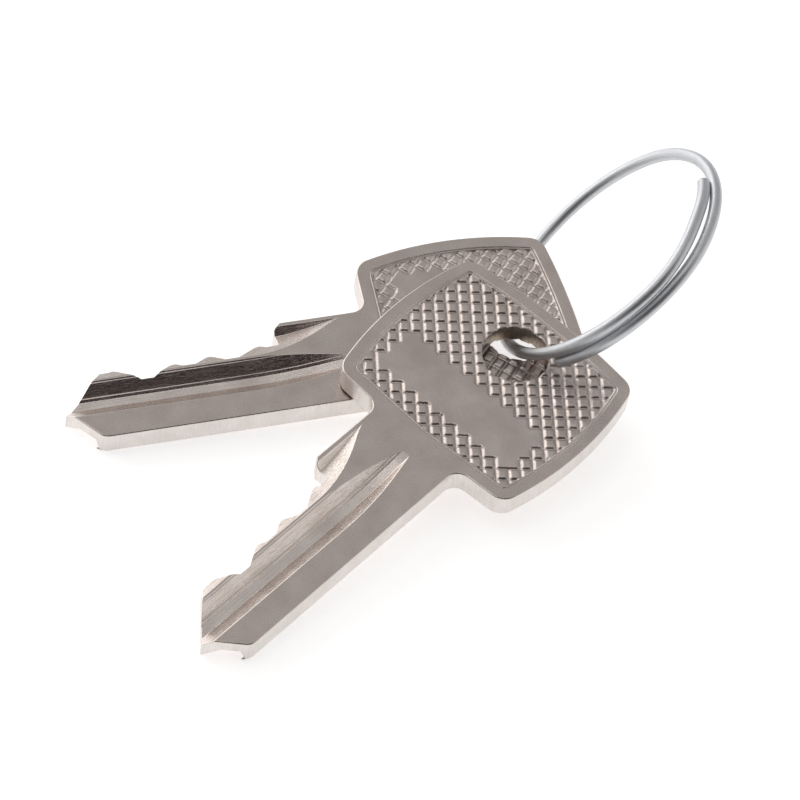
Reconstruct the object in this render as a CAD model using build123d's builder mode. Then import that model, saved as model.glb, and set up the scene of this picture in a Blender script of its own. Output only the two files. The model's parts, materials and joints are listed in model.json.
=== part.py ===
from build123d import *
from math import ceil, cos, degrees, hypot, radians, sin, sqrt, tan
import os

# Two flat cylinder-lock keys, cut alike, threaded on one lapped ring of round wire.
# All sizes are millimetres. Each key is drawn in its own frame: X runs from the tip to the back of
# the bow and is zero at the bow's front edge, Y runs from the spine to the cuts, and Z is zero on
# the top face.

# Flat stock
key_thickness = 2.3
neck_width = 9.25

# Bow, the flat head that the fingers hold
bow_length = 18.95
bow_width = 21.9
bow_side_crown = 1.25
bow_back_crown = 0.7
bow_front_slant = 3.3
bow_corner_radius = 1.7
bow_neck_radius = 1.3
hole_diameter = 6.0
hole_from_front = 13.4

# Coined panel on both faces of the bow, edged by a slope and a low bead
rim_width = 1.05
panel_depth = 0.14
border_slope_width = 0.25
bead_width = 0.3
bead_height = 0.07

# Crossed V grooves in the upper panel, slanted to the blade, and the bare band between them
hatch_angle = 45
hatch_pitch = 1.1075
long_groove_width = 0.38
long_groove_depth = 0.19
cross_groove_width = 0.3
cross_groove_depth = 0.12
hatch_from_front = 11.49
hatch_off_middle = 0.2
hatch_edge_gap = 0.05
band_from_front = 3.9
band_width = 4.0
band_height = 18.6

# Blade, the part that goes into the lock
blade_length = 28.35
blade_width = 7.9
shoulder_from_bow = 8.3
shoulder_bevel = 0.6
tip_height = 3.2
tip_spine_angle = 50
tip_cut_angle = 43.5
tip_corner_radius = 1.2

# Cuts from the shoulder to the tip, as the height left above the spine at each station
cut_heights = (7.1, 6.3, 6.3, 5.62, 6.75)
first_cut_from_shoulder = 0.5
cut_pitch = 3.9
cut_root_width = 1.2
cut_flank_angle = 30
cut_crest_radius = 0.8
crest_share_of_flank = 0.8

# Milled profile of the blade, as distances from the spine and depths below the face
cutter_radius = 37.4
cutter_stop_from_bow = 11.2
groove_land = 2.5
groove_depth = 1.15
groove_wall_run = 1.25
groove_floor = 0.85
groove_slope_run = 1.35
low_step_depth = 0.95
high_step_depth = 0.1
step_width = 0.07
ridge_width = 0.15
facet_angle = 20
lip_width = 0.38
lip_wall_angle = 45
under_land = 0.3
under_depth = 1.1
under_wall_run = 0.38
under_floor = 1.3
under_slope_run = 1.2

# Wire ring
wire_diameter = 1.1
ring_diameter = 23.84
ring_heading = -126.5
ring_lean = 50.9
ring_cross_angle = -34.1
lap_spacing = 1.4
lap_start = -7
lap_end = 118
joggle_begin = 121
joggle_turn = 26
wire_end_bevel = 0.1

# How the keys lie on the ring: the front key is fanned out on top of the back key, and the wire
# passes where their two holes overlap
face_gap = 0.1
fan_angle = 32.8
pull_direction = 245.3
wire_play = 0.565

# How far cutting shapes run past the surfaces that they cut
overshoot = 1.0

# Rounds in which the table is brought up to the lowest turn of the ring
table_rounds = 5

bow_middle = neck_width / 2
bow_corner_half_width = bow_width / 2 - bow_side_crown
bow_corner_front = bow_corner_half_width * tan(radians(bow_front_slant))
bow_corner_back = bow_length - bow_back_crown
tip_run = tip_height / tan(radians(tip_spine_angle))
shoulder = -shoulder_from_bow
cutter_stop = -cutter_stop_from_bow


def bow_face():
    """Outline of the bow: crowned long sides, crowned back edge and a front that slants back."""
    low = bow_middle - bow_corner_half_width
    high = bow_middle + bow_corner_half_width
    side_middle = (bow_corner_front + bow_corner_back) / 2
    with BuildSketch(mode=Mode.PRIVATE) as face:
        with BuildLine():
            Line((0, bow_middle), (bow_corner_front, low))
            low_crown = (side_middle, bow_middle - bow_width / 2)
            high_crown = (side_middle, bow_middle + bow_width / 2)
            ThreePointArc((bow_corner_front, low), low_crown, (bow_corner_back, low))
            ThreePointArc((bow_corner_back, low), (bow_length, bow_middle), (bow_corner_back, high))
            ThreePointArc((bow_corner_back, high), high_crown, (bow_corner_front, high))
            Line((bow_corner_front, high), (0, bow_middle))
        make_face()
        corners = face.vertices().filter_by(lambda corner: abs(corner.Y - bow_middle) > bow_middle)
        fillet(corners, bow_corner_radius)
    return face.sketch


def blade_face():
    """Outline of the blade with its tip, cuts and shoulder."""
    tip_top_run = (blade_width - tip_height) / tan(radians(tip_cut_angle))
    with BuildSketch(mode=Mode.PRIVATE) as face:
        with BuildLine():
            Polyline(
                (-blade_length, tip_height),
                (-blade_length + tip_run, 0),
                (shoulder, 0),
                (shoulder, blade_width),
                (-blade_length + tip_top_run, blade_width),
                close=True,
            )
        make_face()
        for station, height in enumerate(cut_heights):
            middle = root_middle(station)
            flank_height = neck_width - height
            mouth = cut_root_width / 2 + flank_height / tan(radians(cut_flank_angle))
            with BuildLine():
                Polyline(
                    (middle - cut_root_width / 2, height),
                    (middle + cut_root_width / 2, height),
                    (middle + mouth, height + flank_height),
                    (middle - mouth, height + flank_height),
                    close=True,
                )
            make_face(mode=Mode.SUBTRACT)
        for crest, radius in cut_crests():
            fillet(face.vertices().sort_by_distance(crest)[0], radius)
        spine_corner = face.vertices().filter_by(lambda point: point.Y < tip_height / 2).sort_by(Axis.X)[0]
        fillet(spine_corner, tip_corner_radius)
        with BuildLine():
            Polyline(
                (shoulder, 0),
                (bow_corner_front, 0),
                (bow_corner_front, neck_width),
                (shoulder + shoulder_bevel, neck_width),
                (shoulder, neck_width - shoulder_bevel),
                close=True,
            )
        make_face()
    return face.sketch


def root_middle(station):
    """Place along the blade of a cut's flat root, counted from the shoulder."""
    return shoulder - first_cut_from_shoulder - station * cut_pitch


def cut_crests():
    """Peaks where the flanks of two neighbouring cuts meet, with the rounding that each has room for."""
    slope = tan(radians(cut_flank_angle))
    crests = []
    for station in range(len(cut_heights) - 1):
        near, far = cut_heights[station], cut_heights[station + 1]
        apart = cut_pitch - cut_root_width
        rise = (apart * slope + near - far) / 2
        crest = (root_middle(station + 1) + cut_root_width / 2 + rise / slope, far + rise)
        shorter_flank = (far + rise - max(near, far)) / sin(radians(cut_flank_angle))
        if crest[1] < blade_width and shorter_flank > 0:
            crests.append((crest, min(cut_crest_radius, crest_share_of_flank * shorter_flank / slope)))
    return crests


def across(x):
    """Section plane square to the blade: its X is the key's Y and its Y is the key's Z."""
    return Plane(origin=(x, 0, 0), x_dir=(0, 1, 0), z_dir=(1, 0, 0))


def milled(points, floor, side):
    """A groove cut by a disc cutter that stops short of the bow and leaves its round run-out.

    The points are its section, the floor is the height of its deepest line, and the side is 1 for
    a cutter above the key and -1 for one below it. The section turns about the cutter's axle until
    it is clear of the key.
    """
    axle = Axis((cutter_stop, 0, floor + side * cutter_radius), (0, 1, 0))
    depth = key_thickness + overshoot
    with BuildPart(mode=Mode.PRIVATE) as cut:
        with BuildSketch(across(cutter_stop)) as section:
            with BuildLine():
                Polyline(*points, close=True)
            make_face()
        extrude(section.sketch, amount=-(blade_length - cutter_stop_from_bow + overshoot))
        revolve(section.sketch, axis=axle, revolution_arc=-side * degrees(sqrt(2 * depth / cutter_radius)))
    return cut.part


def top_groove():
    """Broad groove of the top face: steep wall, flat floor and a side with two narrow steps up to a ridge."""
    wall_slope = groove_wall_run / groove_depth
    side_slope = (groove_slope_run - 2 * step_width) / groove_depth
    floor_start = groove_land + groove_wall_run
    floor_end = floor_start + groove_floor
    low_step = floor_end + (groove_depth - low_step_depth) * side_slope
    high_step = low_step + step_width + (low_step_depth - high_step_depth) * side_slope
    section = [
        (groove_land - overshoot * wall_slope, overshoot),
        (floor_start, -groove_depth),
        (floor_end, -groove_depth),
        (low_step, -low_step_depth),
        (low_step + step_width, -low_step_depth),
        (high_step, -high_step_depth),
        (high_step + step_width, -high_step_depth),
        (high_step + step_width + (high_step_depth + overshoot) * side_slope, overshoot),
    ]
    return milled(section, -groove_depth, 1)


def lip_groove():
    """Facet that falls from the ridge towards the cuts, up to a straight wall under the neck's lip."""
    ridge = groove_land + groove_wall_run + groove_floor + groove_slope_run + ridge_width
    fall = tan(radians(facet_angle))
    wall_run = 1 / tan(radians(lip_wall_angle))
    lip_edge = neck_width - lip_width
    facet_floor = -(neck_width - ridge) * fall
    facet = [(ridge - overshoot / fall, overshoot), (neck_width, facet_floor), (neck_width, overshoot)]
    with BuildPart(mode=Mode.PRIVATE) as groove:
        add(milled(facet, facet_floor, 1))
        with BuildSketch(across(-blade_length - overshoot)):
            with BuildLine():
                Polyline(
                    (0, overshoot),
                    (lip_edge + overshoot * wall_run, overshoot),
                    (lip_edge - key_thickness * wall_run, -key_thickness),
                    (0, -key_thickness),
                    close=True,
                )
            make_face()
        extrude(amount=blade_length + bow_length, mode=Mode.INTERSECT)
    return groove.part


def under_groove():
    """Groove of the underside beside the spine, which the lock's ward fills."""
    floor = -key_thickness + under_depth
    low = -key_thickness - overshoot
    wall_slope = under_wall_run / under_depth
    side_slope = under_slope_run / under_depth
    floor_start = under_land + under_wall_run
    floor_end = floor_start + under_floor
    section = [
        (under_land - overshoot * wall_slope, low),
        (floor_start, floor),
        (floor_end, floor),
        (floor_end + (under_depth + overshoot) * side_slope, low),
    ]
    return milled(section, floor, -1)


def panel(inset):
    """The bow's outline set in by an even border."""
    with BuildSketch(mode=Mode.PRIVATE) as face:
        add(bow_face())
        offset(amount=-inset, kind=Kind.INTERSECTION)
    return face.sketch


def panel_recess():
    """Shallow coined recess standing on the plane of the top face: a slope, a low bead and a flat floor."""
    bead_foot = rim_width + border_slope_width
    with BuildPart(mode=Mode.PRIVATE) as inside_bead:
        with BuildSketch(Plane.XY.offset(bead_height - panel_depth)):
            add(panel(bead_foot + bead_width / 2))
        with BuildSketch(Plane.XY.offset(-panel_depth)):
            add(panel(bead_foot + bead_width))
        loft(ruled=True)
    with BuildPart(mode=Mode.PRIVATE) as bead:
        with BuildSketch(Plane.XY.offset(-panel_depth)):
            add(panel(bead_foot))
        with BuildSketch(Plane.XY.offset(bead_height - panel_depth)):
            add(panel(bead_foot + bead_width / 2))
        loft(ruled=True)
        add(inside_bead.part, mode=Mode.SUBTRACT)
    with BuildPart(mode=Mode.PRIVATE) as recess:
        with BuildSketch():
            add(panel(rim_width))
        with BuildSketch(Plane.XY.offset(-panel_depth)):
            add(panel(bead_foot))
        loft(ruled=True)
        add(bead.part, mode=Mode.SUBTRACT)
    return recess.part


def hatch_field():
    """Room of the hatch: the panel's floor inside its bead, less the bare band."""
    depth = long_groove_depth + cross_groove_depth
    with BuildPart(mode=Mode.PRIVATE) as field:
        with BuildSketch(Plane.XY.offset(-panel_depth - depth)):
            add(panel(rim_width + border_slope_width + bead_width + hatch_edge_gap))
            with Locations((band_from_front + band_width / 2, bow_middle)):
                Rectangle(band_width, band_height, mode=Mode.SUBTRACT)
        extrude(amount=2 * depth)
    return field.part


def hatch_grooves(turn, width, depth):
    """Parallel V grooves over the panel's floor, stepped along a line at an angle to the blade."""
    above = depth / 2
    half_mouth = width / 2 * (depth + above) / depth
    reach = hypot(bow_length, bow_width) / 2 + overshoot
    count = 2 * ceil(reach / hatch_pitch) + 1
    centre = Vector(hatch_from_front, bow_middle + hatch_off_middle, -panel_depth)
    step = Vector(1, 0, 0).rotate(Axis.Z, turn)
    with BuildPart(mode=Mode.PRIVATE) as grooves:
        with BuildSketch(Plane(origin=centre, x_dir=step, z_dir=step.cross(Vector(0, 0, 1)))):
            with GridLocations(hatch_pitch, 0, count, 1):
                Polygon((0, -depth), (half_mouth, above), (-half_mouth, above), align=None)
        extrude(amount=reach, both=True)
        add(hatch_field(), mode=Mode.INTERSECT)
    return grooves.part


def other_face(shape):
    """The same cut made from the underside."""
    return mirror(shape, Plane.XY.offset(-key_thickness / 2), mode=Mode.PRIVATE)


with BuildPart() as key:
    with BuildSketch(Plane.XY.offset(-key_thickness)) as outline:
        add(bow_face())
        add(blade_face())
        fillet(outline.vertices().sort_by_distance((0, bow_middle))[:2], bow_neck_radius)
    extrude(amount=key_thickness)
    add([top_groove(), lip_groove(), under_groove()], mode=Mode.SUBTRACT)
    add([panel_recess(), other_face(panel_recess())], mode=Mode.SUBTRACT)
    with Locations((hole_from_front, bow_middle, -key_thickness / 2)):
        Cylinder(hole_diameter / 2, key_thickness * 2, mode=Mode.SUBTRACT)
    long_grooves = hatch_grooves(-hatch_angle, long_groove_width, long_groove_depth)
    cross_grooves = hatch_grooves(hatch_angle, cross_groove_width, cross_groove_depth)
    add([long_grooves, cross_grooves], mode=Mode.SUBTRACT)

# The joint plane of the two keys is zero height from here on: the back key's top face lies in it
pull = Vector(1, 0, 0).rotate(Axis.Z, pull_direction)
back_hole = Vector(hole_from_front, bow_middle, 0)
hole_offset = hole_diameter - wire_diameter - wire_play
front_hole = back_hole + pull * hole_offset
crossing = back_hole + pull * (hole_offset / 2) + Vector(0, 0, face_gap / 2)
fan = Location((0, 0, key_thickness + face_gap), (0, 0, fan_angle))
front_place = Location(front_hole) * fan * Location(-back_hole)

ring_radius = ring_diameter / 2
ring_level = Vector(1, 0, 0).rotate(Axis.Z, ring_heading)
ring_upward = Vector(0, 0, 1).rotate(Axis((0, 0, 0), ring_level), ring_lean - 90)
ring_normal = ring_level.cross(ring_upward)


def on_ring(angle, lift=0):
    """Point of the wire's centre line in the ring's own frame, at an angle from its level line."""
    return Vector(ring_radius * cos(radians(angle)), ring_radius * sin(radians(angle)), lift)


def along_ring(angle):
    """Direction of the wire at an angle from the ring's level line."""
    return Vector(-sin(radians(angle)), cos(radians(angle)), 0)


round_start = joggle_begin + joggle_turn
with BuildPart() as coil:
    with BuildLine() as wire:
        # The lap that lies in front, then a gentle joggle of two arcs into the plane of the rest
        CenterArc((0, 0, -lap_spacing), ring_radius, lap_start, joggle_begin - lap_start)
        joggle_start = on_ring(joggle_begin, -lap_spacing)
        joggle_end = on_ring(round_start)
        leave = along_ring(joggle_begin)
        arrive = along_ring(round_start)
        span = joggle_end - joggle_start
        turned = leave + arrive
        closing = turned.dot(turned) - 4
        lead = (span.dot(turned) - sqrt(span.dot(turned) ** 2 - closing * span.dot(span))) / closing
        leave_corner = joggle_start + leave * lead
        arrive_corner = joggle_end - arrive * lead
        joggle_middle = (leave_corner + arrive_corner) / 2
        TangentArc(joggle_start, joggle_middle, tangent=leave)
        TangentArc(joggle_middle, joggle_end, tangent=arrive_corner - leave_corner)
        CenterArc((0, 0, 0), ring_radius, round_start, 360 + lap_end - round_start)
    with BuildSketch(wire.line ^ 0):
        Circle(wire_diameter / 2)
    sweep(path=wire.line)
    cut_ends = coil.faces().filter_by(GeomType.PLANE)
    chamfer(cut_ends.edges(), wire_end_bevel)

# The object stands on the tips of both blades and on the lowest turn of the ring
ring_cross = on_ring(ring_cross_angle)
ring_centre = crossing - ring_level * ring_cross.X - ring_upward * ring_cross.Y
back_foot = Vector(tip_run - blade_length, 0, -key_thickness)
front_foot = (front_place * Location(back_foot)).position
table_normal = Vector(0, 0, 1)
for _ in range(table_rounds):
    downhill = (ring_normal * ring_normal.dot(table_normal) - table_normal).normalized()
    ring_foot = ring_centre + downhill * ring_radius - table_normal * (wire_diameter / 2)
    table_normal = (front_foot - back_foot).cross(ring_foot - back_foot).normalized()
table_forward = table_normal.cross(Vector(1, 0, 0)).normalized()
table = Plane(origin=ring_foot, x_dir=table_forward.cross(table_normal), z_dir=table_normal)
stand = table.location.inverse()

ring_place = Plane(origin=ring_centre, x_dir=ring_level, z_dir=ring_normal).location
standing = [stand * key.part, stand * front_place * key.part, stand * ring_place * coil.part]
room = Compound(standing).bounding_box()
settle = Location((-room.center().X, -room.center().Y, -room.min.Z)) * stand

with BuildPart(Plane(settle)) as back_key:
    add(key.part)

with BuildPart(Plane(settle * front_place)) as front_key:
    add(key.part)

with BuildPart(Plane(settle * ring_place)) as key_ring:
    add(coil.part)

back_key.part.label = "back_key"
front_key.part.label = "front_key"
key_ring.part.label = "key_ring"

os.makedirs("parts", exist_ok=True)
export_step(back_key.part, "parts/back_key.step")
export_step(front_key.part, "parts/front_key.step")
export_step(key_ring.part, "parts/key_ring.step")
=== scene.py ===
import json
import math

import bmesh
import bpy
import numpy
from mathutils import Matrix, Vector

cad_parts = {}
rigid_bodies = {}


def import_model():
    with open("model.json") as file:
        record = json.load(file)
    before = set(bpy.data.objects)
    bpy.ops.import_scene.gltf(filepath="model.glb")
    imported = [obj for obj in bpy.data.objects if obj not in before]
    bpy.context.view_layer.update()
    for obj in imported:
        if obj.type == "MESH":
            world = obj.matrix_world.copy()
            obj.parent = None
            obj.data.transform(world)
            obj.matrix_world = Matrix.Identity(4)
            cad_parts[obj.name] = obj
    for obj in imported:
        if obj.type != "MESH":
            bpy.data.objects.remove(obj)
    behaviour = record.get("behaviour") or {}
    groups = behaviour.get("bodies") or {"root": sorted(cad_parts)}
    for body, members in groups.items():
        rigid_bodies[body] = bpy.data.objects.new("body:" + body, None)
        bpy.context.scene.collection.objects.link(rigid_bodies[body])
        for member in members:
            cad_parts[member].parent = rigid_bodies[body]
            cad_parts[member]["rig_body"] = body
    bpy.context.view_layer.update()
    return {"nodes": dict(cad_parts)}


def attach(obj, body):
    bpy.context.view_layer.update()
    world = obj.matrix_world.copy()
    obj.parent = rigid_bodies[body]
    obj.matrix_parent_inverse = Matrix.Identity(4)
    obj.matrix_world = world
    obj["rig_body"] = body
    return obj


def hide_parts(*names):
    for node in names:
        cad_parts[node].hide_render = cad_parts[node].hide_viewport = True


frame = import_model()

# Two flat keys, cut alike and fanned on one lapped ring of steel wire. Sizes are millimetres,
# and MM turns them to metres. Angles are degrees.
MM = 0.001

# Camera: a long lens that looks down over the tips, rolled a little about its line of sight
CAMERA_PLACE = Vector((-99.97, -226.25, 281.42))
CAMERA_AIM = Vector((0.06, 4.26, 0.0))
CAMERA_ROLL = 10.27
CAMERA_LENS = 190.94
CAMERA_NEAREST = 10.0

# Table, and the light that it gives back as plain white
TABLE_REACH = 3000.0
TABLE_GLOW = 0.62

# Studio: pale walls, and soft panels that lie at an azimuth and a height, stay full out to one
# angle from there and fade out at another. The dark room behind the camera is one of them
STUDIO_WALLS = (0.45, 0.445, 0.445, 1.0)
BACK_LEFT_PANEL = (125, 14, 24, 42, (1.9, 1.88, 1.85, 1.0))
OVERHEAD_PANEL = (-170, 76, 10, 26, (1.4, 1.38, 1.36, 1.0))
DARK_ROOM = (-100, 36, 34, 54, (0.02, 0.012, 0.014, 1.0))
RIGHT_PANEL = (-22, 16, 16, 38, (0.86, 0.85, 0.83, 1.0))

# The back key's own frame: X runs from the tip to the back of the bow, Y from the spine to the
# cuts, and Z is zero on the top face. The front key lies on the back one, fanned about its hole
KEY_CORNER = Vector((-1.76718, 2.684127, 2.916325))
KEY_ALONG = Vector((0.99969895, 0.0, 0.02453599))
KEY_UP = Vector((-0.02440052, -0.10494055, 0.99417911))
KEY_THICKNESS = 2.3
FRONT_HOLE = Vector((9.81367, 3.356459, 3.372112))
FRONT_FAN = 32.8
FRONT_RISE = 2.4

# Hole of the bow. Its rounded rim is given as how far outside the hole and how high each loop is
HOLE_MIDDLE = Vector((13.4, 4.625, 0.0))
HOLE_RADIUS = 3.0
HOLE_POINTS = 132
HOLE_ROUND = ((0.14, 0.0), (0.06, -0.02), (0.015, -0.06), (0.0, -0.12))

# Coined panel: its border and low bead are given as how far inside the rim and how high each
# loop is, and its floor lies within them
PANEL_DEPTH = 0.14
BEAD_PROFILE = ((0.09, -0.1), (0.15, -0.14), (0.19, -0.11), (0.235, -0.07), (0.28, -0.085), (0.34, -0.14))
RIM_POINTS = 480
RIM_SMOOTHING = 3
FLOOR_GAP = 0.02

# Hatch of the floor: two families of rounded grooves, and the grid that draws them
HATCH_MIDDLE = Vector((11.49, 4.825))
HATCH_PITCH = 1.1075
HATCH_CELLS = 14
HATCH_STEPS = 12
GROOVE_WIDTHS = (0.48, 0.4)
GROOVE_DEPTHS = (0.22, 0.18)
GROOVE_ROUND = 0.12
GROOVE_ROOT = 0.03
GROOVE_RUN_OUT = 0.05
PAD_TILT = 0.02
PAD_LIFT = PAD_TILT / 3
PAD_CROWN = 0.02
PADS_ACROSS = 64
PAD_SEED = 11

# Bare band across the hatch
BAND_MIDDLE = Vector((6.0, 4.625))
BAND_WIDTH = 5.5
BAND_HEIGHT = 16.4

# Slow waves of the struck metal
WAVE_HEIGHT = 0.012
WAVE_LENGTHS = (0.5, 2.2)
WAVES = 18
WAVE_SEED = 5

# Edges as tumbling leaves them: how wide they are rounded, the folds that are sharp and that are
# rounded, and how much of a short edge beside them they may take
OUTLINE_EDGE = 0.11
FINE_EDGE = 0.06
EDGE_SEGMENTS = 3
SHARP_FOLD = 15
ROUNDED_FOLD = 25
EDGE_ROOM = 0.4
EDGE_ASIDE = 0.4

# Reading the key's solid: what counts as one point, as flat, as level, as upright and as the wall
# of the hole. Level and upright are heights of a face's normal
ONE_POINT = 0.001
FLAT_FOLD = 0.5
LEVEL = 0.999
NEARLY_UPRIGHT = 0.3
UPRIGHT = 0.1
HOLE_WALL = 0.02
HOLE_NEARBY = 0.5

# Wire ring: the frame of its round plane, the wire, and its cut ends as how far in from the cut
# and how much slimmer each loop is
RING_CENTRE = Vector((19.83116, 10.173275, 9.503772))
RING_LEVEL = Vector((-0.59257393, -0.79941836, -0.09892635))
RING_UPWARD = Vector((0.48885043, -0.45450774, 0.74461263))
RING_NORMAL = RING_LEVEL.cross(RING_UPWARD)
RING_RADIUS = 11.9
WIRE_RADIUS = 0.56
WIRE_START = -7
WIRE_END = 478
WIRE_POINTS = 485
WIRE_SIDES = 28
WIRE_CUT = ((0.0, 0.2), (0.03, 0.1), (0.1, 0.0))

# Bends of the wire, by the angle where each starts and how far it turns: the joggle from one lap
# to the other, the flattened stretch beside the keys, and the sprung free end
LAP_SPACING = 1.22
JOGGLE_START = 70
JOGGLE_TURN = 95
FLATTENED = 0.18
FLAT_START = 62
FLAT_TURN = 34
ROUND_START = 150
ROUND_TURN = 30
SPRUNG_INWARDS = 0.62
SPRUNG_ASIDE = 0.22
SPRUNG_START = 408
SPRUNG_TURN = 50

# Finishes: the size of the dull patches on the keys, how far roughness swings about its middle,
# and how many fine lines lie along the wire and round it
PATCH_SIZE = 3.0
ROUGHNESS_SWING = 0.06
WIRE_LINES = (90.0, 26.0, 1.0)
WIRE_LINE_DEPTH = 0.012


def linear(hex_colour):
    """An sRGB hex colour as linear red, green, blue and alpha."""
    colour = []
    for place in (1, 3, 5):
        part = int(hex_colour[place : place + 2], 16) / 255
        colour.append(part / 12.92 if part <= 0.04045 else ((part + 0.055) / 1.055) ** 2.4)
    return colour + [1.0]


def node(tree, kind, settings=None, links=None):
    """Adds a shader node, sets its attributes and sockets, and links its inputs."""
    made = tree.nodes.new(kind)
    for name, value in (settings or {}).items():
        if isinstance(name, str) and hasattr(made, name):
            setattr(made, name, value)
        else:
            made.inputs[name].default_value = value
    for name, output in (links or {}).items():
        tree.links.new(output, made.inputs[name])
    return made


def new_material(name):
    """An empty node material and its tree."""
    material = bpy.data.materials.new(name)
    material.use_nodes = True
    material.node_tree.nodes.clear()
    return material, material.node_tree


def nickel_plated_brass(name, dull, bright, roughness, grain, streak, relief):
    """Nickel-plated brass as one of the key's processes leaves it.

    The grain is the size of its marks, and the streak is how far they are drawn out along the
    key, across it and through it. The relief is their depth.
    """
    material, tree = new_material(name)
    place = node(tree, "ShaderNodeAttribute", {"attribute_name": "key_place"}).outputs["Vector"]
    drawn_out = [grain * part for part in streak]
    drawn = node(tree, "ShaderNodeVectorMath", {"operation": "DIVIDE", 1: drawn_out}, {0: place})
    marks = node(
        tree,
        "ShaderNodeTexNoise",
        {"Scale": 1.0, "Detail": 4.0, "Roughness": 0.6},
        {"Vector": drawn.outputs["Vector"]},
    ).outputs["Fac"]
    patches = node(
        tree, "ShaderNodeTexNoise", {"Scale": 1 / PATCH_SIZE, "Detail": 3.0}, {"Vector": place}
    ).outputs["Fac"]
    both = node(tree, "ShaderNodeMath", {"operation": "MULTIPLY"}, {0: marks, 1: patches})
    shade = node(
        tree, "ShaderNodeMapRange", {"From Min": 0.12, "From Max": 0.42}, {"Value": both.outputs["Value"]}
    )
    tone = node(
        tree,
        "ShaderNodeMix",
        {"data_type": "RGBA", "A": linear(dull), "B": linear(bright)},
        {"Factor": shade.outputs["Result"]},
    )
    swing = {"To Min": roughness + ROUGHNESS_SWING, "To Max": roughness - ROUGHNESS_SWING}
    rough = node(tree, "ShaderNodeMapRange", {"From Min": 0.3, "From Max": 0.7, **swing}, {"Value": marks})
    bump = node(tree, "ShaderNodeBump", {"Distance": relief * MM, "Strength": 1.0}, {"Height": marks})
    shader = node(
        tree,
        "ShaderNodeBsdfPrincipled",
        {"Metallic": 1.0},
        {
            "Base Color": tone.outputs["Result"],
            "Roughness": rough.outputs["Result"],
            "Normal": bump.outputs["Normal"],
        },
    )
    node(tree, "ShaderNodeOutputMaterial", {}, {"Surface": shader.outputs["BSDF"]})
    return material


KEY_FINISHES = (
    # Rolled flat and tumbled: an even satin with fine specks
    nickel_plated_brass("nickel_brass_tumbled", "#C8BCB5", "#DFD4CE", 0.29, 0.12, (1, 1, 1), 0.008),
    # Milled lengthwise with a disc cutter: fine streaks along the blade
    nickel_plated_brass("nickel_brass_milled", "#DACEC7", "#F2E9E3", 0.26, 0.09, (40, 1, 1), 0.03),
    # Sheared in the die: walls with faint upright marks, painted paler than the faces as a painted
    # reflection of the bright table and studio
    nickel_plated_brass("nickel_brass_sheared_painted_reflection", "#DDD6D1", "#EDE8E4", 0.34, 0.15, (1, 1, 12), 0.008),
    # Coined between dies: a softly uneven skin with small pits
    nickel_plated_brass("nickel_brass_coined", "#C2B6B0", "#DDD3CD", 0.32, 0.14, (1, 1, 1), 0.024),
    # Pierced for the ring: the hole's wall, with painted shade: its dark brown colour stands in for the
    # shade inside the hole
    nickel_plated_brass("nickel_brass_pierced_painted_shade", "#97897A", "#C0B2A2", 0.4, 0.12, (1, 1, 14), 0.012),
    # Edges rubbed bright by wear, and lighter still as a painted highlight along them
    nickel_plated_brass("nickel_brass_rubbed_edge_painted_highlight", "#D3C8C1", "#E6DCD6", 0.27, 0.12, (1, 1, 1), 0.01),
)
TUMBLED, MILLED, SHEARED_PAINTED_PALE, COINED, PIERCED_PAINTED_SHADE, RUBBED_AND_HIGHLIGHTED = range(len(KEY_FINISHES))


def drawn_wire():
    """Hard-drawn steel wire, bright zinc plated: cool, shiny, with faint lines along the wire."""
    material, tree = new_material("steel_wire_bright_zinc")
    around = node(tree, "ShaderNodeUVMap").outputs["UV"]
    drawn = node(tree, "ShaderNodeVectorMath", {"operation": "MULTIPLY", 1: WIRE_LINES}, {0: around})
    lines = node(
        tree,
        "ShaderNodeTexNoise",
        {"Scale": 1.0, "Detail": 5.0, "Roughness": 0.65},
        {"Vector": drawn.outputs["Vector"]},
    ).outputs["Fac"]
    tone = node(
        tree,
        "ShaderNodeMix",
        {"data_type": "RGBA", "A": linear("#B4B7BB"), "B": linear("#E2E4E7")},
        {"Factor": lines},
    )
    bump = node(
        tree, "ShaderNodeBump", {"Distance": WIRE_LINE_DEPTH * MM, "Strength": 1.0}, {"Height": lines}
    )
    shader = node(
        tree,
        "ShaderNodeBsdfPrincipled",
        {"Metallic": 1.0, "Roughness": 0.44},
        {"Base Color": tone.outputs["Result"], "Normal": bump.outputs["Normal"]},
    )
    node(tree, "ShaderNodeOutputMaterial", {}, {"Surface": shader.outputs["BSDF"]})
    return material


def placed(name, data):
    """An object in the scene, with the mesh or camera that it shows."""
    made = bpy.data.objects.new(name, data)
    bpy.context.scene.collection.objects.link(made)
    return made


def key_place(fanned):
    """Where a key's own frame lies, in metres, for the back key or the fanned one on top."""
    across = KEY_UP.cross(KEY_ALONG)
    turn = Matrix((KEY_ALONG, across, KEY_UP)).transposed().to_4x4()
    if not fanned:
        return Matrix.Translation(KEY_CORNER * MM) @ turn
    turn = turn @ Matrix.Rotation(math.radians(FRONT_FAN), 4, "Z")
    hole = (FRONT_HOLE + KEY_UP * FRONT_RISE) * MM
    return Matrix.Translation(hole) @ turn @ Matrix.Translation(-HOLE_MIDDLE * MM)


def is_face(face):
    """Whether a face is part of the key's flat top or underside."""
    height = face.calc_center_median().z
    return abs(face.normal.z) > LEVEL and min(abs(height), abs(height + KEY_THICKNESS)) < ONE_POINT


def is_hole_wall(face):
    """Whether a face is part of the wall of the hole."""
    radii = [(corner.co.xy - HOLE_MIDDLE.xy).length for corner in face.verts]
    return all(abs(radius - HOLE_RADIUS) < HOLE_WALL for radius in radii)


def loop_of(edges):
    """The vertices of one closed run of edges, counterclockwise from above."""
    left = set(edges)
    edge = min(left, key=lambda edge: [tuple(corner.co) for corner in edge.verts])
    left.remove(edge)
    loop = list(edge.verts)
    while left:
        edge = next(edge for edge in left if loop[-1] in edge.verts)
        left.remove(edge)
        loop.append(edge.other_vert(loop[-1]))
    loop.pop()
    area = sum(a.co.x * b.co.y - b.co.x * a.co.y for a, b in zip(loop, loop[1:] + loop[:1]))
    return loop if area > 0 else loop[::-1]


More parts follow.
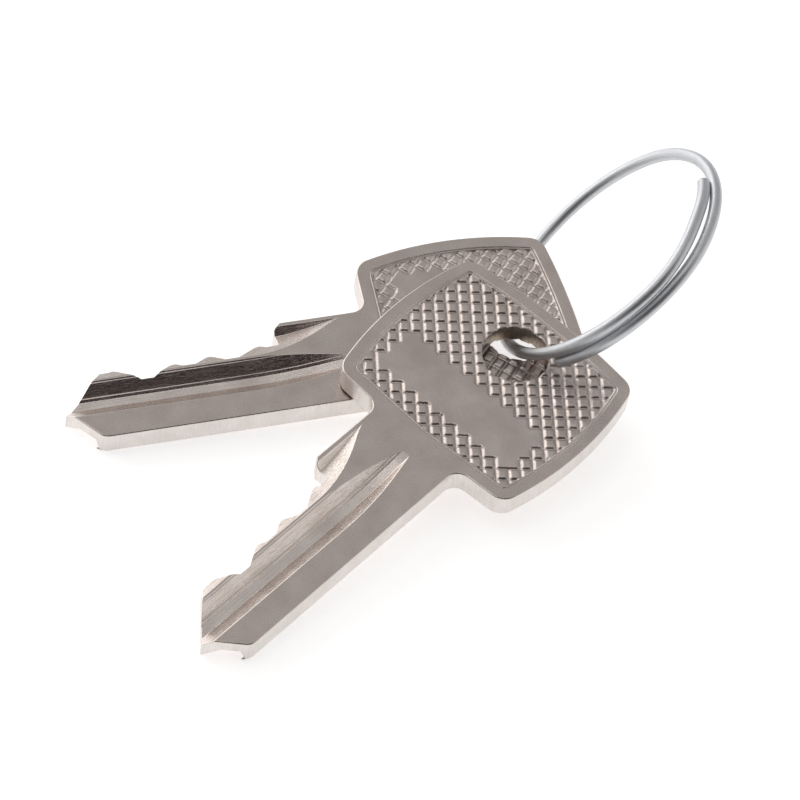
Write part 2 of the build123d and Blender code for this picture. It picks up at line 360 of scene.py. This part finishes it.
def without_panels(name):
    """The key's solid as a clean mesh with its panels and hole open, and the rims round them."""
    mesh = bmesh.new()
    mesh.from_mesh(frame["nodes"][name].data)
    mesh.transform(Matrix.Scale(1 / MM, 4) @ key_place(False).inverted())
    bmesh.ops.remove_doubles(mesh, verts=mesh.verts, dist=ONE_POINT)
    inside = [face for face in mesh.faces if is_hole_wall(face)]
    found = set(inside)
    while inside:
        for edge in inside.pop().edges:
            for face in edge.link_faces:
                if face not in found and not is_face(face):
                    found.add(face)
                    inside.append(face)
    bmesh.ops.delete(mesh, geom=list(found), context="FACES")
    flat = math.radians(FLAT_FOLD)
    bmesh.ops.dissolve_limit(mesh, angle_limit=flat, verts=mesh.verts, edges=mesh.edges)
    mesh.normal_update()
    open_edges = [edge for edge in mesh.edges if edge.is_boundary]
    top = loop_of([edge for edge in open_edges if edge.verts[0].co.z > -KEY_THICKNESS / 2])
    below = loop_of([edge for edge in open_edges if edge.verts[0].co.z < -KEY_THICKNESS / 2])
    return mesh, top, below


def edge_width(edge):
    """How wide an edge is rounded: the outline most, and less where an edge beside it is short."""
    upright = any(abs(face.normal.z) < NEARLY_UPRIGHT for face in edge.link_faces)
    outline = upright and any(is_face(face) for face in edge.link_faces)
    width = OUTLINE_EDGE if outline else FINE_EDGE
    for corner in edge.verts:
        way = (edge.other_vert(corner).co - corner.co).normalized()
        for other in corner.link_edges:
            aside = way.cross((other.other_vert(corner).co - corner.co).normalized()).length
            if other != edge and aside > EDGE_ASIDE:
                width = min(width, EDGE_ROOM * other.calc_length() * aside)
    return width


def break_edges(mesh):
    """Marks the sharp edges, and how wide each of them is rounded."""
    weight = mesh.edges.layers.float.new("bevel_weight_edge")
    for edge in mesh.edges:
        fold = edge.calc_face_angle() if edge.is_manifold else 0.0
        edge.smooth = fold < math.radians(SHARP_FOLD)
        if fold >= math.radians(ROUNDED_FOLD):
            edge[weight] = edge_width(edge) / OUTLINE_EDGE


def is_pad(first, second):
    """Whether a cell of the hatch is a pad, and not part of the bare band."""
    forward, sideways = (first + 0.5) * HATCH_PITCH, (second + 0.5) * HATCH_PITCH
    x = HATCH_MIDDLE.x + (forward + sideways) * math.sqrt(0.5)
    y = HATCH_MIDDLE.y + (sideways - forward) * math.sqrt(0.5)
    return (abs(x - BAND_MIDDLE.x) > BAND_WIDTH / 2) | (abs(y - BAND_MIDDLE.y) > BAND_HEIGHT / 2)


def unevenness(x, y):
    """Slow waves a few microns high, as struck metal is never quite flat."""
    random = numpy.random.default_rng(WAVE_SEED)
    height = numpy.zeros_like(x)
    for _ in range(WAVES):
        turn, start = random.uniform(0, math.tau, 2)
        wave = random.uniform(*WAVE_LENGTHS)
        height += wave * numpy.sin((x * math.cos(turn) + y * math.sin(turn)) * math.tau / wave + start)
    return height * WAVE_HEIGHT / WAVES


def groove_depth(ways, cells):
    """How deep the grooves are at each place.

    A groove runs between two crossings where at least one of the two cells beside it is a pad.
    """
    depth = numpy.zeros_like(ways[0])
    for family, (width, deep) in enumerate(zip(GROOVE_WIDTHS, GROOVE_DEPTHS)):
        line = numpy.rint(ways[family] / HATCH_PITCH).astype(int)
        drawn = numpy.zeros(depth.shape, bool)
        for side in (line - 1, line):
            drawn |= is_pad(side, cells[1]) if family == 0 else is_pad(cells[0], side)
        rise = 1 - numpy.hypot(ways[family] - line * HATCH_PITCH, GROOVE_ROOT) / (width / 2)
        rounded = (rise + numpy.hypot(rise, GROOVE_ROUND)) / 2
        depth = numpy.maximum(depth, numpy.where(drawn, deep * rounded, 0))
    return depth


def pad_height(ways, cells):
    """How high the pads are at each place. Each one is a little crowned, tilted and lifted."""
    lean = numpy.random.default_rng(PAD_SEED).normal(0, 1, (3, PADS_ACROSS, PADS_ACROSS))
    lean = lean[:, cells[0] % PADS_ACROSS, cells[1] % PADS_ACROSS]
    inside = [way / HATCH_PITCH - cell - 0.5 for way, cell in zip(ways, cells)]
    tilt = PAD_TILT * (lean[0] * inside[0] + lean[1] * inside[1])
    crown = PAD_CROWN * (1 - 4 * numpy.maximum(abs(inside[0]), abs(inside[1])) ** 2)
    return numpy.where(is_pad(*cells), tilt + PAD_LIFT * lean[2] + crown, 0)


def panel_height(x, y, inset):
    """Height of the panel's floor at each place, where inset is how far the rim is away."""
    forward = (x - HATCH_MIDDLE.x) * math.sqrt(0.5)
    sideways = (y - HATCH_MIDDLE.y) * math.sqrt(0.5)
    ways = (forward - sideways, forward + sideways)
    cells = [numpy.floor(way / HATCH_PITCH).astype(int) for way in ways]
    fade = numpy.clip((inset - BEAD_PROFILE[-1][0]) / GROOVE_RUN_OUT, 0, 1)
    return -PANEL_DEPTH + fade * (pad_height(ways, cells) - groove_depth(ways, cells)) + unevenness(x, y)


def rim_distance(x, y, rim):
    """How far inside the panel's rim each place is, negative outside it."""
    nearest = numpy.full(x.shape, numpy.inf)
    outside = numpy.zeros(x.shape, bool)
    for corner, after in zip(rim, rim[1:] + rim[:1]):
        way = after - corner
        share = numpy.clip(((x - corner.x) * way.x + (y - corner.y) * way.y) / way.length_squared, 0, 1)
        off = numpy.hypot(x - corner.x - share * way.x, y - corner.y - share * way.y)
        nearest = numpy.minimum(nearest, off)
        outside |= way.x * (y - corner.y) - way.y * (x - corner.x) < 0
    return numpy.where(outside, -nearest, nearest)


def inset_loop(rim, inset):
    """The panel's rim in even steps, moved inwards."""
    lengths = [(after - corner).length for corner, after in zip(rim, rim[1:] + rim[:1])]
    reach = numpy.concatenate(([0.0], numpy.cumsum(lengths)))
    even = numpy.linspace(0, reach[-1], RIM_POINTS, endpoint=False)
    closed = numpy.array(rim + rim[:1])
    points = numpy.stack([numpy.interp(even, reach, closed[:, part]) for part in range(2)], 1)
    way = numpy.roll(points, -RIM_SMOOTHING, 0) - numpy.roll(points, RIM_SMOOTHING, 0)
    inward = numpy.stack((-way[:, 1], way[:, 0]), 1) / numpy.linalg.norm(way, axis=1)[:, None]
    return points + inward * inset


class Panel:
    """One side's coined panel, added to the key's mesh. The underside is a mirror of the top."""

    def __init__(self, mesh, below):
        self.mesh = mesh
        self.below = below

    def point(self, x, y, height):
        """A vertex at a height above the key's top face, or as far below its underside."""
        return self.mesh.verts.new((x, y, -KEY_THICKNESS - height if self.below else height))

    def face(self, corners, finish=COINED):
        """A face whose corners run counterclockwise from above on the top side."""
        made = self.mesh.faces.new(corners[::-1] if self.below else corners)
        made.material_index = finish
        made.smooth = True

    def strip(self, outer, inner, finish=COINED):
        """Quads between two loops with as many vertices as each other."""
        for place in range(len(outer)):
            after = (place + 1) % len(outer)
            self.face((outer[place], outer[after], inner[after], inner[place]), finish)

    def zip_up(self, outer, inner):
        """Triangles between two loops that run the same way round."""
        start = min(range(len(inner)), key=lambda place: (inner[place].co - outer[0].co).length)
        inner = inner[start:] + inner[:start]
        first = second = 0
        while first < len(outer) or second < len(inner):
            here, there = outer[first % len(outer)], inner[second % len(inner)]
            past_here, past_there = outer[(first + 1) % len(outer)], inner[(second + 1) % len(inner)]
            outer_step = (past_here.co - there.co).length if first < len(outer) else math.inf
            inner_step = (past_there.co - here.co).length if second < len(inner) else math.inf
            if outer_step <= inner_step:
                self.face((here, past_here, there))
                first += 1
            else:
                self.face((here, past_there, there))
                second += 1

    def nest(self, outer, loops):
        """Faces from an outer loop to the first of several even loops, and from each to the next."""
        self.zip_up(outer, loops[0])
        for wider, narrower in zip(loops, loops[1:]):
            self.strip(wider, narrower)


def border_and_bead(panel, rim_vertices, rim):
    """The sloping border and the bead, in from the rim. It returns the innermost loop."""
    loops = []
    for inset, height in BEAD_PROFILE:
        points = inset_loop(rim, inset)
        heights = height + unevenness(*points.T)
        loops.append([panel.point(x, y, level) for (x, y), level in zip(points, heights)])
    panel.nest(rim_vertices, loops)
    return loops[-1]


def hatched_floor(panel, rim):
    """The floor, as a grid that runs with the grooves. It returns its edges at bead and hole."""
    steps = numpy.arange(-HATCH_CELLS * HATCH_STEPS, HATCH_CELLS * HATCH_STEPS)
    ways = numpy.meshgrid(steps, steps, indexing="ij")
    forward, sideways = (way * HATCH_PITCH / HATCH_STEPS * math.sqrt(0.5) for way in ways)
    x, y = HATCH_MIDDLE.x + forward + sideways, HATCH_MIDDLE.y - forward + sideways
    inset = rim_distance(x, y, rim)
    from_hole = numpy.hypot(x - HOLE_MIDDLE.x, y - HOLE_MIDDLE.y)
    free = inset > BEAD_PROFILE[-1][0] + FLOOR_GAP
    free &= from_hole > HOLE_RADIUS + HOLE_ROUND[0][0] + FLOOR_GAP
    height = panel_height(x, y, inset)
    grid = {}
    for i, j in numpy.argwhere(free[:-1, :-1] & free[1:, :-1] & free[1:, 1:] & free[:-1, 1:]):
        corners = ((i, j), (i + 1, j), (i + 1, j + 1), (i, j + 1))
        for corner in corners:
            if corner not in grid:
                grid[corner] = panel.point(x[corner], y[corner], height[corner])
        panel.face([grid[corner] for corner in corners])
    vertices = grid.values()
    border = {edge for vertex in vertices for edge in vertex.link_edges if len(edge.link_faces) == 1}
    near = HOLE_RADIUS + HOLE_NEARBY
    at_hole = {edge for edge in border if (edge.verts[0].co.xy - HOLE_MIDDLE.xy).length < near}
    return loop_of(border - at_hole), loop_of(at_hole)


def hole_rim(panel, floor_edge, rim):
    """The rounded rim of the hole. It returns the loop where the hole's wall begins."""
    turns = numpy.linspace(0, math.tau, HOLE_POINTS, endpoint=False)
    loops = []
    for wider, height in HOLE_ROUND:
        x = HOLE_MIDDLE.x + (HOLE_RADIUS + wider) * numpy.cos(turns)
        y = HOLE_MIDDLE.y + (HOLE_RADIUS + wider) * numpy.sin(turns)
        heights = panel_height(x, y, rim_distance(x, y, rim)) + height
        loops.append([panel.point(*corner) for corner in zip(x, y, heights)])
    panel.nest(floor_edge, loops)
    return loops[-1]


def coined_panel(mesh, rim_vertices, below):
    """Fills one side's open panel, and returns the loop of vertices at the hole's wall."""
    panel = Panel(mesh, below)
    rim = [vertex.co.xy for vertex in rim_vertices]
    bead = border_and_bead(panel, rim_vertices, rim)
    floor_edge, hole_edge = hatched_floor(panel, rim)
    panel.zip_up(bead, floor_edge)
    return hole_rim(panel, hole_edge, rim)


def finish_of(face):
    """Which process made a face, from where it lies on the key and how it is turned."""
    if abs(face.normal.z) < UPRIGHT:
        # Upright walls take the sheared finish, whose pale colour is a painted reflection
        return SHEARED_PAINTED_PALE
    return TUMBLED if is_face(face) else MILLED


def key_mesh():
    """Both keys' mesh: flat faces joined, edges broken, and the panel coined into both sides.

    Each vertex keeps its place on the key, which the finishes' patterns follow.
    """
    mesh, top, below = without_panels("back_key")
    for face in mesh.faces:
        face.material_index = finish_of(face)
        face.smooth = True
    break_edges(mesh)
    top_hole = coined_panel(mesh, top, False)
    low_hole = coined_panel(mesh, below, True)
    # The hole's wall takes the pierced finish, whose dark brown colour is painted shade inside the hole
    Panel(mesh, False).strip(top_hole, low_hole, PIERCED_PAINTED_SHADE)
    place = mesh.verts.layers.float_vector.new("key_place")
    for vertex in mesh.verts:
        vertex[place] = vertex.co
    return mesh


def dressed_key(name, mesh, fanned):
    """One key in its place, with its edges rounded."""
    data = bpy.data.meshes.new("coined_" + name)
    mesh.to_mesh(data)
    data.transform(key_place(fanned) @ Matrix.Scale(MM, 4))
    for finish in KEY_FINISHES:
        data.materials.append(finish)
    piece = placed("coined_" + name, data)
    edges = piece.modifiers.new("broken_edges", "BEVEL")
    edges.limit_method = "WEIGHT"
    edges.width = OUTLINE_EDGE * MM
    edges.segments = EDGE_SEGMENTS
    edges.use_clamp_overlap = False
    # The rounded edges take the rubbed finish, lighter partly by wear and partly as a painted highlight
    edges.material = RUBBED_AND_HIGHLIGHTED
    normals = piece.modifiers.new("flat_faces", "WEIGHTED_NORMAL")
    normals.keep_sharp = True
    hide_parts(name)
    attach(piece, frame["nodes"][name]["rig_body"])


def eased(angle, start, turn):
    """From 0 before the start to 1 after the turn, with a soft beginning and end."""
    share = min(max((angle - start) / turn, 0), 1)
    return share * share * (3 - 2 * share)


def wire_line():
    """The wire's centre line from the ring's middle: lapped, flattened and sprung."""
    centres = []
    for angle in numpy.linspace(WIRE_START, WIRE_END, WIRE_POINTS):
        sprung = eased(angle, SPRUNG_START, SPRUNG_TURN)
        lift = SPRUNG_ASIDE * sprung - LAP_SPACING * (1 - eased(angle, JOGGLE_START, JOGGLE_TURN))
        flat = eased(angle % 360, FLAT_START, FLAT_TURN) - eased(angle % 360, ROUND_START, ROUND_TURN)
        radius = RING_RADIUS - FLATTENED * flat - SPRUNG_INWARDS * sprung
        turn = math.radians(angle)
        out = RING_LEVEL * math.cos(turn) + RING_UPWARD * math.sin(turn)
        centres.append(out * radius + RING_NORMAL * lift)
    return centres


def wire_loops(mesh):
    """Loops of vertices round the wire, from one cut end to the other."""
    centres = wire_line()
    last = WIRE_POINTS - 1
    places = [(0, inwards, WIRE_RADIUS - slimmer) for inwards, slimmer in WIRE_CUT]
    places += [(place, 0.0, WIRE_RADIUS) for place in range(1, last)]
    places += [(last, -inwards, WIRE_RADIUS - slimmer) for inwards, slimmer in reversed(WIRE_CUT)]
    loops = []
    for place, shift, radius in places:
        way = (centres[min(place + 1, last)] - centres[max(place - 1, 0)]).normalized()
        out = (centres[place] - RING_NORMAL * centres[place].dot(RING_NORMAL)).normalized()
        side = way.cross(out).normalized()
        middle = RING_CENTRE + centres[place] + way * shift
        loop = []
        for turn in range(WIRE_SIDES):
            spin = math.tau * turn / WIRE_SIDES
            loop.append(mesh.verts.new(middle + radius * (out * math.cos(spin) + side * math.sin(spin))))
        loops.append(loop)
    return loops


def dressed_ring():
    """The lapped wire with its cut ends, as a fine tube with its length and girth as UVs."""
    mesh = bmesh.new()
    along = mesh.loops.layers.uv.new("wire")
    loops = wire_loops(mesh)
    for row, (here, following) in enumerate(zip(loops, loops[1:])):
        for turn in range(WIRE_SIDES):
            after = (turn + 1) % WIRE_SIDES
            face = mesh.faces.new((here[turn], following[turn], following[after], here[after]))
            face.smooth = True
            corners = ((row, turn), (row + 1, turn), (row + 1, turn + 1), (row, turn + 1))
            for corner, (length, girth) in zip(face.loops, corners):
                corner[along].uv = (length / len(loops), girth / WIRE_SIDES)
    mesh.faces.new(loops[0])
    mesh.faces.new(loops[-1][::-1])
    bmesh.ops.recalc_face_normals(mesh, faces=mesh.faces)
    mesh.transform(Matrix.Scale(MM, 4))
    data = bpy.data.meshes.new("wire_ring")
    mesh.to_mesh(data)
    data.materials.append(drawn_wire())
    piece = placed("wire_ring", data)
    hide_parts("key_ring")
    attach(piece, frame["nodes"]["key_ring"]["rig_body"])


def white_table():
    """Matt white board that keeps the object's shadow. The camera and the metal see it lit."""
    material, tree = new_material("white_painted_board")
    board = node(tree, "ShaderNodeBsdfDiffuse", {"Color": linear("#F2F2F2")}).outputs["BSDF"]
    glow = node(tree, "ShaderNodeEmission", {"Color": linear("#FFFFFF"), "Strength": TABLE_GLOW})
    lit = node(tree, "ShaderNodeAddShader", {}, {0: board, 1: glow.outputs["Emission"]})
    rays = node(tree, "ShaderNodeLightPath").outputs
    seen = node(
        tree,
        "ShaderNodeMath",
        {"operation": "MAXIMUM"},
        {0: rays["Is Camera Ray"], 1: rays["Is Glossy Ray"]},
    )
    shown = node(
        tree, "ShaderNodeMixShader", {}, {0: seen.outputs["Value"], 1: board, 2: lit.outputs["Shader"]}
    )
    node(tree, "ShaderNodeOutputMaterial", {}, {"Surface": shown.outputs["Shader"]})
    return material


def floor():
    """The table that the keys lie on."""
    reach = TABLE_REACH * MM
    corners = [(x * reach, y * reach, 0) for x, y in ((-1, -1), (1, -1), (1, 1), (-1, 1))]
    mesh = bpy.data.meshes.new("table")
    mesh.from_pydata(corners, [], [(0, 1, 2, 3)])
    mesh.materials.append(white_table())
    table = placed("table", mesh)


def direction(azimuth, height):
    """The way from the table to a part of the studio."""
    azimuth, height = math.radians(azimuth), math.radians(height)
    return (math.cos(height) * math.cos(azimuth), math.cos(height) * math.sin(azimuth), math.sin(height))


def studio():
    """The walls with the panels over them. The camera itself sees only white."""
    surround = bpy.data.worlds.new("studio")
    surround.use_nodes = True
    tree = surround.node_tree
    tree.nodes.clear()
    way = node(tree, "ShaderNodeTexCoord").outputs["Generated"]
    shade = None
    for azimuth, height, full, fade, light in (BACK_LEFT_PANEL, OVERHEAD_PANEL, DARK_ROOM, RIGHT_PANEL):
        middle = direction(azimuth, height)
        near = node(tree, "ShaderNodeVectorMath", {"operation": "DOT_PRODUCT", 1: middle}, {0: way})
        reach = {"From Min": math.cos(math.radians(fade)), "From Max": math.cos(math.radians(full))}
        share = node(
            tree,
            "ShaderNodeMapRange",
            {"interpolation_type": "SMOOTHSTEP", **reach},
            {"Value": near.outputs["Value"]},
        )
        mixed = node(
            tree,
            "ShaderNodeMix",
            {"data_type": "RGBA", "A": STUDIO_WALLS, "B": light},
            {"Factor": share.outputs["Result"]},
        )
        if shade:
            tree.links.new(shade, mixed.inputs["A"])
        shade = mixed.outputs["Result"]
    seen = node(tree, "ShaderNodeLightPath").outputs["Is Camera Ray"]
    white = node(
        tree, "ShaderNodeMix", {"data_type": "RGBA", "B": linear("#FFFFFF")}, {"Factor": seen, "A": shade}
    )
    shader = node(tree, "ShaderNodeBackground", {"Strength": 1.0}, {"Color": white.outputs["Result"]})
    node(tree, "ShaderNodeOutputWorld", {}, {"Surface": shader.outputs["Background"]})
    bpy.context.scene.world = surround


def camera():
    """The camera, aimed at the table under the bows."""
    made = placed("camera", bpy.data.cameras.new("camera"))
    made.data.lens = CAMERA_LENS
    made.data.clip_start = CAMERA_NEAREST * MM
    turn = (CAMERA_AIM - CAMERA_PLACE).to_track_quat("-Z", "Y").to_matrix().to_4x4()
    roll = Matrix.Rotation(math.radians(CAMERA_ROLL), 4, "Z")
    made.matrix_world = Matrix.Translation(CAMERA_PLACE * MM) @ turn @ roll
    bpy.context.scene.camera = made


camera()
floor()
studio()
cut_key = key_mesh()
dressed_key("back_key", cut_key, False)
dressed_key("front_key", cut_key, True)
dressed_ring()
bpy.context.scene.view_settings.view_transform = "Standard"
